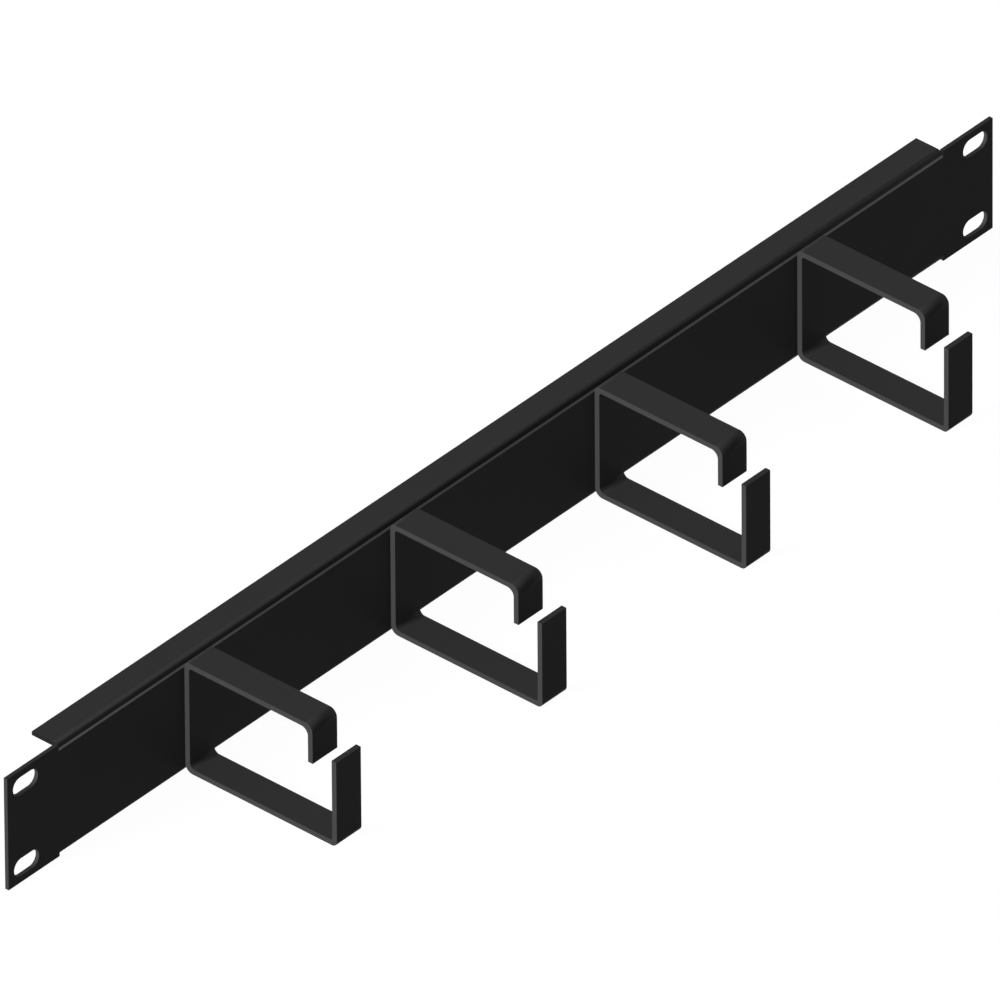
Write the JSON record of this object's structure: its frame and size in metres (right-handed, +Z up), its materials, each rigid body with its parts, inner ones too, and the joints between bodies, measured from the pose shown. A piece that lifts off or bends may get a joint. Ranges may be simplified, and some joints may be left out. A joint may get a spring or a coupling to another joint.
{
  "type": "horizontal cable manager",
  "caption": "Low black rack panel of folded sheet steel with slotted ears, carrying open rings of bent flat strip on its front that hold cables along it.",
  "frame": {"origin": "the middle of the four ear slots, on the rear face of the ears, which lies on the rack's rails", "axes": "+X runs along the panel to the right as seen from the front, -Y points out of the front of the rack, and +Z is up"},
  "size_m": [0.4826, 0.0759, 0.0436],
  "materials": {
    "powder_coat": "matte black powder coat"
  },
  "bodies": {
    "root": {"front_panel": "powder_coat", "cable_ring_1": "powder_coat", "cable_ring_2": "powder_coat", "cable_ring_3": "powder_coat", "cable_ring_4": "powder_coat"}
  },
  "joints": []
}
